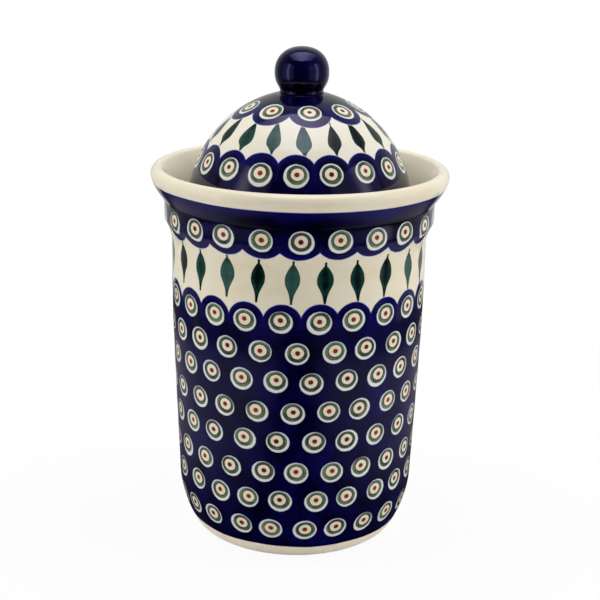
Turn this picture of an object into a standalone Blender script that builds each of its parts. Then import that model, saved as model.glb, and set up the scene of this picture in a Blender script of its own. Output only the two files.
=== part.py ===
"""Kitchen canister: a stoneware jar with a flared mouth, a domed lid and a ball knob.

Each piece is a turned profile. Sizes are in metres, +Z is up and the jar stands on Z = 0.
The lid sits on a ledge inside the mouth, and a ring under it drops into the throat.
"""

import math

import bpy

# How finely the profiles are turned and their round stretches are divided.
JAR_TURN_STEPS = 60
KNOB_TURN_STEPS = 36
SHARP_ANGLE = math.radians(40)
MERGE_DISTANCE = 0.00001

# Pieces that rest on each other keep this much room.
SEAT_GAP = 0.0003

# Jar: the whole height and the wall.
JAR_HEIGHT = 0.2113
BODY_RADIUS = 0.07127
WALL_THICKNESS = 0.0055
BASE_TAPER = 0.0048
BASE_TAPER_POWER = 1.18
NECK_TAPER = 0.0001
BELLY_DROP = 0.0300

# Jar: the rounded foot, the ring it stands on and the floor.
FOOT_CURVE_HEIGHT = 0.0300
FOOT_CURVE_DEPTH = 0.0083
FOOT_CURVE_POWER = 1.73
FOOT_EDGE = 0.0120
FOOT_RING_WIDTH = 0.0080
FOOT_RING_SLOPE = 0.0012
BASE_RECESS = 0.0022
FLOOR_THICKNESS = 0.0060
INNER_CORNER = 0.0140

# Jar: the raised collar, the flare over it and the rolled lip, from the rim down.
COLLAR_PROUD = 0.0039
COLLAR_TAPER = 0.0001
COLLAR_BAND = 0.0095
COLLAR_STEP = 0.0140
STEP_TOP_PULL = 0.15
STEP_LOW_PULL = 0.6
LIP_FLARE = 0.0072
FLARE_HEIGHT = 0.0145
FLARE_EASE = 0.0016
LIP_EASE = 0.0060
LIP_THICKNESS = 0.0076
LIP_ROLL = 0.0042
LIP_INNER_TURN = 150
FUNNEL_EASE = 0.0060
FUNNEL_LEAN = 0.0039

# Jar: the ledge inside the collar that carries the lid.
COLLAR_WALL = 0.00565
SEAT_DROP = 0.0268
SEAT_WIDTH = 0.0062
SEAT_FILLET = 0.0012
SEAT_EDGE = 0.0008
LEDGE_DEPTH = 0.0065
LEDGE_RUNOUT = 0.0100
GALLERY_HEIGHT = 0.0060

# Lid: the flange that rests on the ledge, the ring under it and the dome.
FLANGE_CLEARANCE = 0.0008
FLANGE_LEDGE = 0.0056
FLANGE_THICKNESS = 0.0040
FLANGE_EDGE = 0.0012
RING_CLEARANCE = 0.0012
RING_DEPTH = 0.0080
RING_THICKNESS = 0.0044
RING_DRAFT = 0.0004
RING_EDGE = 0.0012
DOME_HEIGHT = 0.0674
LID_WALL = 0.0052

# Knob: a solid, slightly flattened ball on a short neck, luted to the crown.
KNOB_RADIUS = 0.0149
KNOB_HALF_HEIGHT = 0.0137
KNOB_FULLNESS = 2.2
KNOB_STAND = 0.01085
KNOB_FOOT_RADIUS = 0.0122
NECK_HEIGHT = 0.0030
NECK_EASE = 0.0016
NECK_WAIST = 0.0006

AXIS_MARK_SIZE = 0.02
COBALT_GLAZE = (0.012, 0.010, 0.090, 1.0)
GLAZE_ROUGHNESS = 0.12

# Heights and radii that follow from the sizes above.
RIM_BASE = JAR_HEIGHT - LIP_ROLL
COLLAR_TOP = RIM_BASE - FLARE_HEIGHT
COLLAR_BOTTOM = COLLAR_TOP - COLLAR_BAND - COLLAR_STEP
BELLY_HEIGHT = COLLAR_BOTTOM - BELLY_DROP
NECK_RADIUS = BODY_RADIUS - NECK_TAPER
COLLAR_RADIUS = NECK_RADIUS + COLLAR_PROUD
FLARE_RADIUS = COLLAR_RADIUS + COLLAR_TAPER
LIP_RADIUS = FLARE_RADIUS + LIP_FLARE
INNER_FLOOR = BASE_RECESS + FLOOR_THICKNESS
SEAT_HEIGHT = JAR_HEIGHT - SEAT_DROP
GALLERY_RADIUS = COLLAR_RADIUS - COLLAR_WALL
THROAT_RADIUS = GALLERY_RADIUS - SEAT_WIDTH
FLANGE_RADIUS = GALLERY_RADIUS - FLANGE_CLEARANCE
RING_RADIUS = THROAT_RADIUS - RING_CLEARANCE
DOME_RADIUS = FLANGE_RADIUS - FLANGE_LEDGE
LID_REST = SEAT_HEIGHT + SEAT_GAP


def clear_scene():
    for piece in list(bpy.data.objects):
        bpy.data.objects.remove(piece, do_unlink=True)
    for mesh in list(bpy.data.meshes):
        bpy.data.meshes.remove(mesh)


def arc(centre, radius_r, radius_z, start_deg, end_deg, steps):
    """Points on an upright ellipse in the profile's plane. 0 degrees is outward, 90 is up."""
    points = []
    for i in range(steps + 1):
        angle = math.radians(start_deg + (end_deg - start_deg) * i / steps)
        r = centre[0] + radius_r * math.cos(angle)
        z = centre[1] + radius_z * math.sin(angle)
        points.append((r, z))
    return points


def bezier(start, pull_start, pull_end, end, steps):
    """Points on a cubic curve from start to end."""
    points = []
    for i in range(steps + 1):
        t = i / steps
        weights = ((1 - t) ** 3, 3 * t * (1 - t) ** 2, 3 * t ** 2 * (1 - t), t ** 3)
        handles = (start, pull_start, pull_end, end)
        r = sum(w * p[0] for w, p in zip(weights, handles))
        z = sum(w * p[1] for w, p in zip(weights, handles))
        points.append((r, z))
    return points


def spread(low, high, steps):
    return [low + (high - low) * i / steps for i in range(steps + 1)]


def joined(*stretches):
    """One profile from stretches in order, with points that repeat dropped."""
    profile = []
    for point in (p for stretch in stretches for p in stretch):
        if not profile or math.dist(point, profile[-1]) > MERGE_DISTANCE:
            profile.append(point)
    return profile


def wall_radius(z):
    """Outside radius of the jar's wall: a long taper with a foot that rounds in."""
    if z < BELLY_HEIGHT:
        taper = BASE_TAPER * (1 - z / BELLY_HEIGHT) ** BASE_TAPER_POWER
    else:
        taper = NECK_TAPER * ((z - BELLY_HEIGHT) / BELLY_DROP) ** 2
    rounding = max(0.0, 1 - z / FOOT_CURVE_HEIGHT) ** FOOT_CURVE_POWER
    return BODY_RADIUS - taper - FOOT_CURVE_DEPTH * rounding


def jar_inside():
    """Floor, inner corner, wall and throat, up to the edge of the lid's seat."""
    corner_top = INNER_FLOOR + INNER_CORNER
    corner_centre = (wall_radius(corner_top) - WALL_THICKNESS - INNER_CORNER, corner_top)
    corner = arc(corner_centre, INNER_CORNER, INNER_CORNER, -90, 0, 6)
    throat_bottom = SEAT_HEIGHT - LEDGE_DEPTH
    wall_top = throat_bottom - LEDGE_RUNOUT
    wall = [(wall_radius(z) - WALL_THICKNESS, z) for z in spread(corner_top, wall_top, 4)]
    half = LEDGE_RUNOUT / 2
    ledge = bezier(
        wall[-1],
        (wall[-1][0], wall_top + half),
        (THROAT_RADIUS, throat_bottom - half),
        (THROAT_RADIUS, throat_bottom),
        4,
    )
    throat = [
        (THROAT_RADIUS, SEAT_HEIGHT - SEAT_EDGE),
        (THROAT_RADIUS + SEAT_EDGE, SEAT_HEIGHT),
    ]
    return joined([(0.0, INNER_FLOOR)], corner, wall, ledge, throat)


def jar_mouth():
    """Lid seat, gallery wall, funnel and rolled lip, from the inside to the outside."""
    fillet_centre = (GALLERY_RADIUS - SEAT_FILLET, SEAT_HEIGHT + SEAT_FILLET)
    fillet = arc(fillet_centre, SEAT_FILLET, SEAT_FILLET, -90, 0, 3)
    gallery_top = SEAT_HEIGHT + GALLERY_HEIGHT
    lip_centre = (LIP_RADIUS - LIP_THICKNESS / 2, RIM_BASE)
    lip = arc(lip_centre, LIP_THICKNESS / 2, LIP_ROLL, LIP_INNER_TURN, 0, 8)
    lip_start = lip[0]
    funnel = bezier(
        (GALLERY_RADIUS, gallery_top),
        (GALLERY_RADIUS, gallery_top + FUNNEL_EASE),
        (lip_start[0] - FUNNEL_LEAN, lip_start[1] - FUNNEL_EASE),
        lip_start,
        6,
    )
    return joined(fillet, funnel, lip)


def jar_outside():
    """Flare, collar, wall and foot, from the lip down to the ring that the jar stands on."""
    flare = bezier(
        (LIP_RADIUS, RIM_BASE),
        (LIP_RADIUS, RIM_BASE - LIP_EASE),
        (FLARE_RADIUS, COLLAR_TOP + FLARE_EASE),
        (FLARE_RADIUS, COLLAR_TOP),
        7,
    )
    band_bottom = COLLAR_TOP - COLLAR_BAND
    step = bezier(
        (COLLAR_RADIUS, band_bottom),
        (COLLAR_RADIUS, band_bottom - COLLAR_STEP * STEP_TOP_PULL),
        (NECK_RADIUS, COLLAR_BOTTOM + COLLAR_STEP * STEP_LOW_PULL),
        (NECK_RADIUS, COLLAR_BOTTOM),
        6,
    )
    wall_heights = spread(COLLAR_BOTTOM, FOOT_CURVE_HEIGHT, 6)
    foot_heights = spread(FOOT_CURVE_HEIGHT, FOOT_EDGE, 6)
    wall = [(wall_radius(z), z) for z in wall_heights + foot_heights[1:]]
    ground = wall_radius(0.0)
    edge = bezier(
        wall[-1],
        (ground, 0.0),
        (ground, 0.0),
        (ground - FOOT_EDGE, 0.0),
        5,
    )
    ring_inside = ground - FOOT_EDGE - FOOT_RING_WIDTH
    base = [
        (ring_inside, 0.0),
        (ring_inside - FOOT_RING_SLOPE, BASE_RECESS),
        (0.0, BASE_RECESS),
    ]
    return joined(flare, step, wall, edge, base)


def jar_profile():
    return joined(jar_inside(), jar_mouth(), jar_outside())


def dome_height(r, radius, height):
    """Height of an elliptical dome over its springing line at radius r."""
    return height * math.sqrt(1 - (r / radius) ** 2)


def crown_height():
    """Top of the flat land that the knob stands on, over the lid's resting plane."""
    return dome_height(KNOB_FOOT_RADIUS, DOME_RADIUS, DOME_HEIGHT)


def dome_angle(height, full_height):
    return math.degrees(math.asin(height / full_height))


def lid_outside():
    """Crown, dome and flange, down to the flange's underside."""
    crown = crown_height()
    first = dome_angle(crown, DOME_HEIGHT)
    last = dome_angle(FLANGE_THICKNESS + FLANGE_EDGE, DOME_HEIGHT)
    dome = arc((0.0, 0.0), DOME_RADIUS, DOME_HEIGHT, first, last, 12)
    foot = dome[-1][0]
    land = [
        (0.0, crown),
        (KNOB_FOOT_RADIUS, crown),
    ]
    fillet_centre = (foot + FLANGE_EDGE, FLANGE_THICKNESS + FLANGE_EDGE)
    fillet = arc(fillet_centre, FLANGE_EDGE, FLANGE_EDGE, 180, 270, 2)
    top_centre = (FLANGE_RADIUS - FLANGE_EDGE, FLANGE_THICKNESS - FLANGE_EDGE)
    top_edge = arc(top_centre, FLANGE_EDGE, FLANGE_EDGE, 90, 0, 3)
    low_centre = (FLANGE_RADIUS - FLANGE_EDGE, FLANGE_EDGE)
    low_edge = arc(low_centre, FLANGE_EDGE, FLANGE_EDGE, 0, -90, 3)
    return joined(land, dome, fillet, top_edge, low_edge)


def lid_inside():
    """Locating ring and the hollow of the dome, from the flange's underside to the axis."""
    outer = RING_RADIUS
    inner = RING_RADIUS - RING_THICKNESS
    tip = outer - RING_DRAFT
    outer_edge = arc((tip - RING_EDGE, RING_EDGE - RING_DEPTH), RING_EDGE, RING_EDGE, 0, -90, 2)
    inner_edge = arc((inner + RING_EDGE, RING_EDGE - RING_DEPTH), RING_EDGE, RING_EDGE, 270, 180, 2)
    hollow_radius = min(inner, DOME_RADIUS - LID_WALL)
    hollow_height = DOME_HEIGHT - LID_WALL
    hollow = arc((0.0, 0.0), hollow_radius, hollow_height, 0, 90, 10)
    return joined([(outer, 0.0)], outer_edge, inner_edge, hollow)


def lid_profile():
    return joined(lid_outside(), lid_inside())


def knob_profile():
    """The ball from its top down, the neck and the flat foot that stands on the crown."""
    ball = ball_outline(10)
    run_r, run_z = (end - start for start, end in zip(ball[-2], ball[-1]))
    ease = NECK_EASE / math.hypot(run_r, run_z)
    neck = bezier(
        ball[-1],
        (ball[-1][0] + run_r * ease, ball[-1][1] + run_z * ease),
        (KNOB_FOOT_RADIUS - NECK_WAIST, NECK_HEIGHT - NECK_EASE),
        (KNOB_FOOT_RADIUS, 0.0),
        3,
    )
    return joined(ball, neck, [(0.0, 0.0)])


def ball_outline(steps):
    """The ball from its top to the neck. A fullness of 2 is an ellipse, and more is squarer."""
    power = 2 / KNOB_FULLNESS
    low = -((KNOB_STAND - NECK_HEIGHT) / KNOB_HALF_HEIGHT) ** (1 / power)
    points = []
    for angle in spread(math.pi / 2, math.asin(low), steps):
        rise = math.copysign(abs(math.sin(angle)) ** power, angle)
        r = KNOB_RADIUS * max(0.0, math.cos(angle)) ** power
        points.append((r, KNOB_STAND + KNOB_HALF_HEIGHT * rise))
    return points


def glaze(name, colour):
    material = bpy.data.materials.new(name)
    material.use_nodes = True
    shader = material.node_tree.nodes["Principled BSDF"]
    shader.inputs["Base Color"].default_value = colour
    shader.inputs["Roughness"].default_value = GLAZE_ROUGHNESS
    shader.inputs["Metallic"].default_value = 0.0
    material.diffuse_color = colour
    return material


def turned(name, profile, steps, collection):
    """A piece made by turning its profile, which starts and ends on the axis, about Z."""
    points = [(r, 0.0, z) for r, z in profile]
    edges = [(i, i + 1) for i in range(len(points) - 1)]
    outline = bpy.data.meshes.new(name + "_outline")
    outline.from_pydata(points, edges, [])
    piece = bpy.data.objects.new(name, outline)
    collection.objects.link(piece)
    turn = piece.modifiers.new("Turn", "SCREW")
    turn.axis = "Z"
    turn.angle = math.tau
    turn.steps = steps
    turn.render_steps = steps
    turn.use_merge_vertices = True
    turn.merge_threshold = MERGE_DISTANCE
    apply_turn(piece, outline)
    return piece


def apply_turn(piece, outline):
    """Keeps the turned surface as the piece's own mesh, so that its edges can be marked sharp."""
    graph = bpy.context.evaluated_depsgraph_get()
    solid = bpy.data.meshes.new_from_object(piece.evaluated_get(graph))
    solid.name = piece.name
    piece.modifiers.clear()
    piece.data = solid
    bpy.data.meshes.remove(outline)
    solid.shade_smooth()
    solid.set_sharp_from_angle(angle=SHARP_ANGLE)


def lift_axis(collection):
    """The empty that the lid hangs from: it slides up along Z from the seat."""
    empty = bpy.data.objects.new("lid_lift_axis", None)
    empty.empty_display_type = "SINGLE_ARROW"
    empty.empty_display_size = AXIS_MARK_SIZE
    empty.location = (0.0, 0.0, LID_REST)
    collection.objects.link(empty)
    return empty


def build():
    clear_scene()
    canister = bpy.data.collections.new("kitchen_canister")
    bpy.context.scene.collection.children.link(canister)

    jar = turned("jar_body", jar_profile(), JAR_TURN_STEPS, canister)
    jar.data.materials.append(glaze("jar_glaze", COBALT_GLAZE))

    lift = lift_axis(canister)
    lid = turned("lid_dome", lid_profile(), JAR_TURN_STEPS, canister)
    lid.data.materials.append(glaze("lid_glaze", COBALT_GLAZE))
    lid.parent = lift

    knob = turned("lid_knob", knob_profile(), KNOB_TURN_STEPS, canister)
    knob.data.materials.append(glaze("knob_glaze", COBALT_GLAZE))
    knob.parent = lift
    knob.location = (0.0, 0.0, crown_height() + SEAT_GAP)

    bpy.context.view_layer.update()


build()
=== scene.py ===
"""Looks of the kitchen canister: stoneware with stamped eyes, scallops and brushed leaves.

The frame gives the shapes and their sizes. Each node is turned again from its own outline, finer
and with the slight unevenness of hand work. The decoration is worked out in the shader, from rows
of stamps that go round the axis, whose heights are given below. Angles round the axis are 0 at
the front and grow towards +X.
"""

import math

import bmesh
import bpy
from mathutils import Matrix, Vector


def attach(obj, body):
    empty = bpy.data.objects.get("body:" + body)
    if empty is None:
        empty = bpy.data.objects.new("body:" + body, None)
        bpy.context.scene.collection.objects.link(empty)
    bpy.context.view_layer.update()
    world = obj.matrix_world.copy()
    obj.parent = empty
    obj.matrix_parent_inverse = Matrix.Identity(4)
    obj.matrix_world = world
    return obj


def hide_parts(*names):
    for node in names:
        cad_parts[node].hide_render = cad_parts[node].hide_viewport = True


MM = 0.001

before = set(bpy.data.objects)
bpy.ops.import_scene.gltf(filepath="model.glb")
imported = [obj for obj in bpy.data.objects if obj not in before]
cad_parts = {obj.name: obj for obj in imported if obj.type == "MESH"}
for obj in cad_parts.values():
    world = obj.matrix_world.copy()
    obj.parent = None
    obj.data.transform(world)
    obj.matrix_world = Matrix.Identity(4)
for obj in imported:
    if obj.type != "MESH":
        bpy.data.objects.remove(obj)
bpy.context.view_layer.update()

# The camera, fitted to the photograph: its place, its aim and the length of its lens.
IMAGE_PIXELS = 600
FOCAL_PIXELS = 1268.2
SENSOR_MM = 36.0
CAMERA_BACK = 692.7 * MM
CAMERA_UP = 345.4 * MM
CAMERA_PITCH = math.radians(17.06)
CAMERA_YAW = math.radians(0.10)
CAMERA_ROLL = math.radians(1.06)

# How finely the outlines are turned.
ROUND_SEGMENTS = 240
LONGEST_STEP = 1.6 * MM
FINEST_TURN = math.radians(6)
CORNER_TURN = math.radians(36)
FLAT = 1e-6

# The unevenness of hand work: an oval, a lopsided round, ripples up the wall, and the length over
# which it sets in.
OVAL = 0.12 * MM
LOPSIDED = 0.06 * MM
RIPPLE = 0.05 * MM
RIPPLE_PITCH = 23 * MM
UNEVEN_EASE = 9 * MM

# Where the material changes along an outline: the least radius of a seat, and how far above the
# lid's flange its decoration ends.
SEAT_LEAST_RADIUS = 60 * MM
FLANGE_CLEAR = 5 * MM

# The pieces' own maps: the margin at their edges, and the share that the outside gets.
MAP_EDGE = 0.004
SHOWN_SHARE = 0.8

# The numbers of a piece's materials: its decorated outside, plain cream glaze and bare clay.
DECORATED, PLAIN, BARE = range(3)

# The decoration's rows on the jar: heights, counts round the axis, and where each row starts, as
# a share of the step from one stamp to the next. BODY_ROW_LIFTS is in millimetres, and the leaves
# start at an angle in radians.
JAR_EYE_COUNT = 23
BODY_ROW_TOP = 142.0 * MM
BODY_ROW_PITCH = 17.2 * MM
BODY_ROW_STARTS = (0.58, 0.0, 0.44, 0.90, 0.50, 0.06, 0.61, 0.31)
BODY_ROW_LIFTS = (0.0, 0.3, 0.9, 0.9, 0.8, 0.0, 0.7, 0.0)
COLLAR_ROW = 185.4 * MM
COLLAR_ROW_START = 0.03
COLLAR_LOBE_RADIUS = 14.2 * MM
COLLAR_LOBE_CENTRE = 189.7 * MM
BODY_LOBE_RADIUS = 10.7 * MM
BODY_LOBE_CENTRE = 141.4 * MM
JAR_BAND_MIDDLE = 165.0 * MM
JAR_LEAF_COUNT = 25
JAR_LEAF_ANGLE = -0.0476
JAR_LEAF_WIDEST = 165.4 * MM

# Heights of the jar's glaze lines, and how they rise and wave: the corner under the flare, the top
# of the light painted on the cream inside, and the cobalt's edges under the lip and at the foot.
CORNER_LINE = 193.0 * MM
PAINTED_LIGHT_LINE = 204.0 * MM
RIM_LINE = 202.7 * MM
RIM_LINE_RISE = 0.9 * MM
RIM_WAVE = 0.3 * MM
FOOT_LINE = 8.2 * MM
FOOT_LINE_RISE = 1.1 * MM
FOOT_WAVE = 1.6 * MM
FOOT_RIPPLE = 0.4 * MM
PAINTED_LIGHT_FADE = (PAINTED_LIGHT_LINE - 14.0 * MM, PAINTED_LIGHT_LINE)

# Where cobalt pools thick and painted shade darkens it to nearly black: in the corner, as heights
# between which it sets in and ends, and above the line at the foot, as distances from that line.
# BARE_END is where clay gives way to cream.
CORNER_SHADE_POOL_START = (CORNER_LINE - 5.0 * MM, CORNER_LINE)
CORNER_SHADE_POOL_END = (CORNER_LINE + 1.0 * MM, CORNER_LINE + 4.5 * MM)
CORNER_SHADE_POOL_WAVE = 3.0 * MM
FOOT_SHADE_POOL_START = (0.0, 0.4 * MM)
FOOT_SHADE_POOL_END = (0.8 * MM, 2.4 * MM)
BARE_END = (FOOT_LINE + 2.0 * MM, FOOT_LINE + 4.0 * MM)

# The rows on the lid, with their starts as angles, and where the crown's thick cobalt sets in.
CAP_EYE_COUNT = 9
CAP_EYE_ANGLE = 0.156
CAP_EYE_HEIGHT = 244.3 * MM
LOW_EYE_COUNT = 18
LOW_EYE_ANGLE = -0.041
LOW_EYE_HEIGHT = 216.0 * MM
LID_LOBE_RADIUS = 11.2 * MM
CROWN_START = (245.0 * MM, 249.0 * MM)
LID_LEAF_COUNT = 18
LID_LEAF_ANGLE = 0.031
LID_LEAF_WIDEST = 231.5 * MM

# One stamped eye, from the outside in. It is EYE_SQUASH times as wide as it is high, and its
# inner colours sit a little above its middle.
EYE_RADIUS = 6.5 * MM
EYE_SQUASH = 1.06
RING_OUTER = 5.4 * MM
RING_INNER = 3.4 * MM
RING_LIFT = 0.52 * MM
COLLAR_RING_LIFT = 0.78 * MM
CORE_LIFT = 0.22 * MM
DOT_RADIUS = 1.35 * MM
STAMP_SOFT = 0.16 * MM
EYE_RIM_WIDTH = 0.7 * MM
RING_POOL_WIDTH = 1.2 * MM
RING_EDGE_WIDTH = 0.6 * MM
HALO_WIDTH = 0.7 * MM

# How far a stamp's colours stray, with SHIFT round the axis and STRAY upwards, how much the disc's
# radius varies, and how uneven the edges are.
DISC_SHIFT = 0.75 * MM
DISC_STRAY = 0.5 * MM
DISC_GROWTH = 0.2 * MM
RING_SHIFT = 0.5 * MM
RING_STRAY = 0.3 * MM
CORE_SHIFT = 0.3 * MM
DOT_SHIFT = 0.25 * MM
DOT_STRAY = 0.2 * MM
STAMP_WOBBLE = 0.2 * MM
STAMP_FINE_WOBBLE = 0.1 * MM

# The same for the round lobes of the cobalt.
LOBE_SHIFT = 0.6 * MM
LOBE_STRAY = 0.4 * MM
LOBE_GROWTH = 0.3 * MM
LOBE_WOBBLE = 0.16 * MM

# One brushed leaf. A brush holds the slope of the surface, the length and power of the upper end,
# those of the lower one, the tail's length and half the stem's width.
LEAF_HALF_WIDTH = 4.15 * MM
JAR_LEAF_BRUSH = (1.0, 8.4 * MM, 1.9, 6.4 * MM, 2.6, 13.6 * MM, 0.7 * MM)
LID_LEAF_BRUSH = (1.356, 11.2 * MM, 1.45, 5.0 * MM, 3.6, 16.6 * MM, 0.42 * MM)
STEM_LENGTH = 1.8 * MM
STEM_FADE = 0.6 * MM
TAIL_START = -0.5 * MM
TAIL_FULL = 0.8 * MM
LEAF_SHIFT = 0.8 * MM
LEAF_STRAY = 0.8 * MM
LEAF_LEAN = 0.07
LEAF_LENGTHENING = 0.1
LEAF_WIDENING = 0.08
LEAF_WOBBLE = 0.1 * MM

# Soft edges, as distances inside a shape: of a leaf, of the cobalt, of the pale line outside it,
# and of the thin cobalt and the bluest cobalt along its lobes.
LEAF_SOFT = (-0.1 * MM, 0.16 * MM)
COBALT_SOFT = (-0.18 * MM, 0.22 * MM)
BLEED_REACH = (-0.6 * MM, -0.15 * MM)
THIN_REACH = (0.6 * MM, 3.8 * MM)
EDGE_REACH = (0.1 * MM, 0.8 * MM)

# The seeds of the chances that each row gets, and those added for a stamp's further colours.
BODY_LOBE_SEED = 3.0
COLLAR_LOBE_SEED = 5.0
JAR_LEAF_SEED = 7.0
COLLAR_EYE_SEED = 9.0
LOW_LOBE_SEED = 11.0
CAP_LOBE_SEED = 12.0
LID_LEAF_SEED = 17.0
LOW_EYE_SEED = 21.0
CAP_EYE_SEED = 22.0
RING_SEED = 31.7
DOT_SEED = 57.3
LEAF_FORM_SEED = 13.1


def srgb(red, green, blue):
    """A colour given as 0 to 255 on the screen, in the linear values that shaders take."""
    linear = []
    for level in (red, green, blue):
        share = level / 255
        linear.append(share / 12.92 if share <= 0.04045 else ((share + 0.055) / 1.055) ** 2.4)
    return (*linear, 1.0)


# The colours of the glazes, the clay, the eyes and the leaves.
CREAM = srgb(230, 221, 198)
CREAM_WARM = srgb(222, 207, 176)
LID_CREAM = srgb(227, 222, 206)
# The next cream is brighter, as painted light for the inside of the mouth where it lies in shade.
CREAM_PAINTED_LIGHT = srgb(253, 241, 216)
BARE_CLAY = srgb(253, 243, 226)
COBALT = srgb(6, 4, 56)
COBALT_DEEP = srgb(1, 0, 20)
COBALT_BRIGHT = srgb(15, 11, 92)
# The nearly black cobalt below stands for thick glaze, and also for painted shade in the corner
# under the flare, along the fold above the foot line and round the knob's neck.
COBALT_POOL_AND_SHADE = srgb(1, 0, 8)
COBALT_THIN = srgb(15, 11, 86)
COBALT_EDGE = srgb(46, 42, 128)
BLEED = srgb(196, 202, 218)
EYE_WHITE = srgb(224, 224, 215)
EYE_RIM = srgb(186, 198, 214)
RING_GREEN = srgb(92, 116, 76)
RING_DARK = srgb(10, 33, 16)
EYE_CORE = srgb(230, 218, 196)
DOT_RED = srgb(140, 50, 16)
DOT_DARK = srgb(70, 16, 5)
DOT_HALO = srgb(206, 140, 110)
LEAF_DARK = srgb(2, 13, 13)
LEAF_TEAL = srgb(20, 63, 55)
LEAF_PALE = srgb(70, 105, 98)
WHITE = (1.0, 1.0, 1.0, 1.0)

# The shine of glaze, bare clay and knob. The knob's glaze is duller where it pools at the neck,
# whose colour also holds painted shade.
GLAZE_SHINE = 0.5
GLAZE_IOR = 1.5
GLAZE_ROUGHNESS = 0.07
CLAY_ROUGHNESS = 0.75
BUMP_STRENGTH = 0.35
BUMP_DEPTH = 0.12 * MM
KNOB_SHINE = 0.75
KNOB_TINT = (0.5, 0.5, 1.0, 1.0)
KNOB_BUMP = 0.6
KNOB_DULLED = 0.1
KNOB_SHADE_POOL = (256 * MM, 262 * MM)

# The cards that the glaze reflects, in metres: overhead, at the sides and on the table. A glow is
# a strength. STREAKS gives each side card its side and name, and the place of its streak along Y.
CARD_TINT = (0.95, 0.88, 1.12, 1.0)
OVERHEAD_HEIGHT = 0.62
OVERHEAD_CORNERS = (
    (-0.27, 0.137), (-0.23, -0.184), (0.0, -0.267), (0.28, -0.167), (0.306, 0.194), (0.0, 0.11),
)
OVERHEAD_GLOW = 0.65
OVERHEAD_MIDDLE = 1.8
OVERHEAD_FADE = (0.02, 0.26)
SIDE_NEAR = (0.22, -0.42)
SIDE_FAR = (0.46, 0.0)
SIDE_LOW = 0.02
SIDE_TOP = 0.50
SIDE_NEAR_EDGE = 0.08
SIDE_LOW_EDGE = 0.14
SIDE_CARD_GLOW = 0.25
STREAK_GLOW = 1.25
STREAK_REACH = 0.07
STREAKS = ((-1, "left_card", -0.20), (1, "right_card", -0.14))
TABLE_HEIGHT = 0.0005
TABLE_REACH = 0.42
TABLE_EDGE = 0.12
TABLE_HOLE = 0.10
TABLE_HOLE_EDGE = 0.05
TABLE_GLOW = 0.2
TABLE_SIDES = (0.05, 0.22)
TABLE_LEAST_GLOW = 0.05
TABLE_LEAST_SIDES = (0.02, 0.12)

# The world's strengths: its light on the object, and what the glaze sees of it at the front, at
# the sides, past the turn to the back, and at the back. A start says where a strength sets in,
# from -1 at the front to 1 at the back. The right side is a little brighter than the left one.
AMBIENT = 0.50
FRONT_GLOW = 0.004
SIDE_GLOW = 0.08
SIDE_START = (-1.0, -0.1)
TURN_GLOW = 0.096
TURN_START = (0.14, 0.24)
BACK_GLOW = 0.4
BACK_START = (0.35, 0.95)
RIGHT_MORE = 0.2

# The floor: half its width and its grey. The camera sees it as nearly white round the object,
# and as somewhat whiter further away.
FLOOR_REACH = 6.0
FLOOR_GREY = (0.85, 0.85, 0.85, 1.0)
FLOOR_FADE = (0.15, 0.45)
FLOOR_WHITE = 0.92
FLOOR_WHITER = 0.08

# The lamps: name, place, width and height, and power. All of them point at one place.
LAMP_AIM = (0.0, 0.0, 0.15)
LAMPS = (
    ("left_high_lamp", (-0.55, 0.1, 1.3), (0.7, 0.7), 6.0),
    ("right_high_lamp", (0.55, 0.1, 1.3), (0.7, 0.7), 6.6),
    ("left_low_lamp", (-1.15, -0.1, 0.35), (0.7, 0.9), 4.5),
    ("right_low_lamp", (1.15, -0.1, 0.35), (0.7, 0.9), 5.1),
)

# The places of a Mix node's colour sockets, which share their names with other sockets.
COLOUR_UNDER = 6
COLOUR_OVER = 7
COLOUR_MIXED = 2


class Value:
    """A number worked out in a shader. Sums and products of values add the nodes they need."""

    def __init__(self, tree, socket):
        self.tree = tree
        self.socket = socket

    def __add__(self, other):
        return work(self.tree, "ADD", self, other)

    def __sub__(self, other):
        return work(self.tree, "SUBTRACT", self, other)

    def __rsub__(self, other):
        return work(self.tree, "SUBTRACT", other, self)

    def __mul__(self, other):
        return work(self.tree, "MULTIPLY", self, other)

    def __truediv__(self, other):
        return work(self.tree, "DIVIDE", self, other)

    def __pow__(self, other):
        return work(self.tree, "POWER", self, other)

    def __abs__(self):
        return work(self.tree, "ABSOLUTE", self)

    __radd__ = __add__
    __rmul__ = __mul__


def connect(tree, item, socket):
    if isinstance(item, Value):
        tree.links.new(item.socket, socket)
    else:
        socket.default_value = item


def work(tree, operation, *items):
    node = tree.nodes.new("ShaderNodeMath")
    node.operation = operation
    for item, socket in zip(items, node.inputs):
        connect(tree, item, socket)
    return Value(tree, node.outputs[0])


def floor_of(value):
    return work(value.tree, "FLOOR", value)


def larger(first, second):
    return work(first.tree, "MAXIMUM", first, second)


def smaller(first, second):
    return work(first.tree, "MINIMUM", first, second)


def above(value, limit):
    return work(value.tree, "GREATER_THAN", value, limit)


def pick(choice, if_one, if_zero):
    """if_one where choice is 1, and if_zero where it is 0."""
    return choice * (if_one - if_zero) + if_zero


def rise(value, low, high):
    """0 below low and 1 above high, with a smooth step between."""
    node = value.tree.nodes.new("ShaderNodeMapRange")
    node.interpolation_type = "SMOOTHSTEP"
    connect(value.tree, value, node.inputs["Value"])
    connect(value.tree, low, node.inputs["From Min"])
    connect(value.tree, high, node.inputs["From Max"])
    return Value(value.tree, node.outputs["Result"])


def fall(value, low, high):
    return 1.0 - rise(value, low, high)


def blend(tree, share, under, over):
    """The colour over laid on the colour under, as far as share says."""
    node = tree.nodes.new("ShaderNodeMix")
    node.data_type = "RGBA"
    connect(tree, share, node.inputs[0])
    connect(tree, under, node.inputs[COLOUR_UNDER])
    connect(tree, over, node.inputs[COLOUR_OVER])
    return Value(tree, node.outputs[COLOUR_MIXED])


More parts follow.
